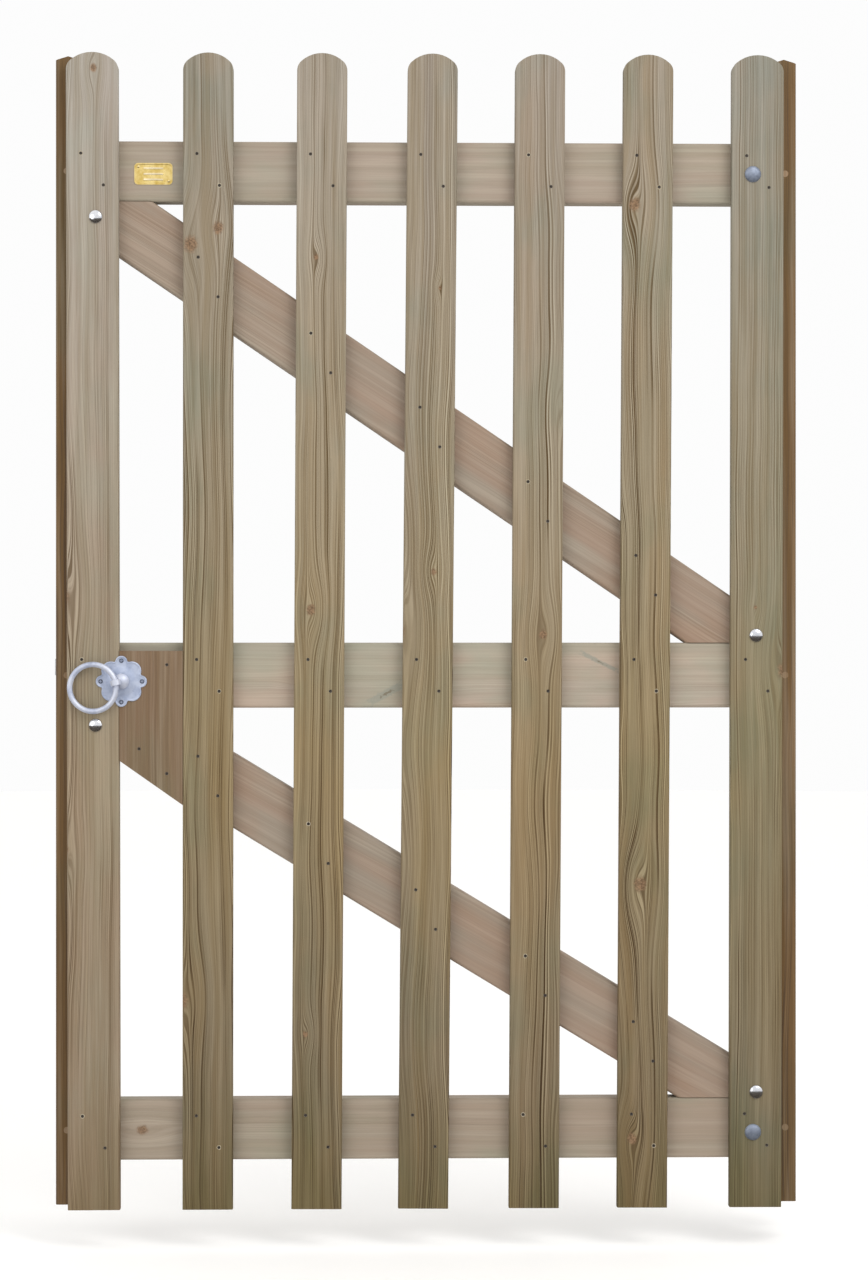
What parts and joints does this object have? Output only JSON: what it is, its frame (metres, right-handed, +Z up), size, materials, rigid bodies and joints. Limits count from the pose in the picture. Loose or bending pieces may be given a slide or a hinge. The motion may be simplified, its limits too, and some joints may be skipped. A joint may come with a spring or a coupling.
{
  "type": "garden gate",
  "caption": "Round-topped picket garden gate with a braced frame, hook-and-band hinges on the back and a ring latch that lifts a bar.",
  "frame": {"origin": "centre of the lower hook plate's face that lies on the gate post", "axes": "+X out of that face into the post, +Y from the front of the leaf to its back, +Z up along the pickets"},
  "size_m": [1.142, 0.1721, 1.7503],
  "materials": {
    "picket_wood": "planed pressure-treated softwood, weathered greenish tan",
    "frame_wood": "planed pressure-treated softwood, pinkish beige",
    "dark_wood": "planed pressure-treated softwood, brown",
    "galvanised_steel": "hot-dip galvanised, matt",
    "zinc_plate": "bright zinc plate",
    "bright_zinc": "smooth galvanised casting, satin",
    "brass_plate": "worn polished brass"
  },
  "bodies": {
    "post_hooks": {"upper_hook_plate": "galvanised_steel", "upper_hook_pin": "galvanised_steel", "lower_hook_plate": "galvanised_steel", "lower_hook_pin": "galvanised_steel"},
    "leaf": {"picket_1": "picket_wood", "picket_2": "picket_wood", "picket_3": "picket_wood", "picket_4": "picket_wood", "picket_5": "picket_wood", "picket_6": "picket_wood", "picket_7": "picket_wood", "latch_stile": "dark_wood", "hinge_stile": "dark_wood", "top_rail": "frame_wood", "middle_rail": "frame_wood", "bottom_rail": "frame_wood", "upper_brace": "frame_wood", "lower_brace": "frame_wood", "lock_block": "dark_wood", "tenon_dowels": "dark_wood", "picket_nails": "galvanised_steel", "lock_block_nails": "galvanised_steel", "maker_plate": "brass_plate", "maker_plate_pins": "brass_plate", "brace_bolts": "zinc_plate", "brace_washers": "zinc_plate", "brace_nuts": "zinc_plate", "hinge_bolts": "galvanised_steel", "hinge_washers": "galvanised_steel", "hinge_nuts": "galvanised_steel", "hinge_screws": "galvanised_steel", "upper_hinge_band": "galvanised_steel", "lower_hinge_band": "galvanised_steel", "rose_plate": "bright_zinc", "rose_screws": "bright_zinc", "back_plate": "zinc_plate", "back_plate_screws": "zinc_plate", "pivot_screw": "zinc_plate", "pivot_spacer": "zinc_plate", "latch_keeper": "zinc_plate", "keeper_screws": "zinc_plate"},
    "spindle": {"spindle": "bright_zinc", "lifter": "zinc_plate"},
    "ring": {"ring": "bright_zinc"},
    "latch_bar": {"latch_bar": "zinc_plate"}
  },
  "joints": [
    {"name": "leaf_swing", "type": "hinge", "parent": "post_hooks", "child": "leaf", "pos_m": [-0.0185, -0.054, 0.0605], "axis": [0, 0, -1], "range_deg": [0, 95]},
    {"name": "spindle_turn", "type": "hinge", "parent": "leaf", "child": "spindle", "pos_m": [-1.036, -0.12505, 0.7455], "axis": [0, -1, 0], "range_deg": [0, 24]},
    {"name": "ring_swing", "type": "hinge", "parent": "spindle", "child": "ring", "pos_m": [-1.0438, -0.13955, 0.7437], "axis": [-0.225, 0, 0.9744], "range_deg": [0, 150]},
    {"name": "bar_lift", "type": "hinge", "parent": "leaf", "child": "latch_bar", "pos_m": [-0.94, -0.06005, 0.7668], "axis": [0, 1, 0], "range_deg": [0, 7.68]}
  ],
  "couplings": [
    {"joint": "bar_lift", "follows": "spindle_turn", "ratio": 0.32}
  ]
}
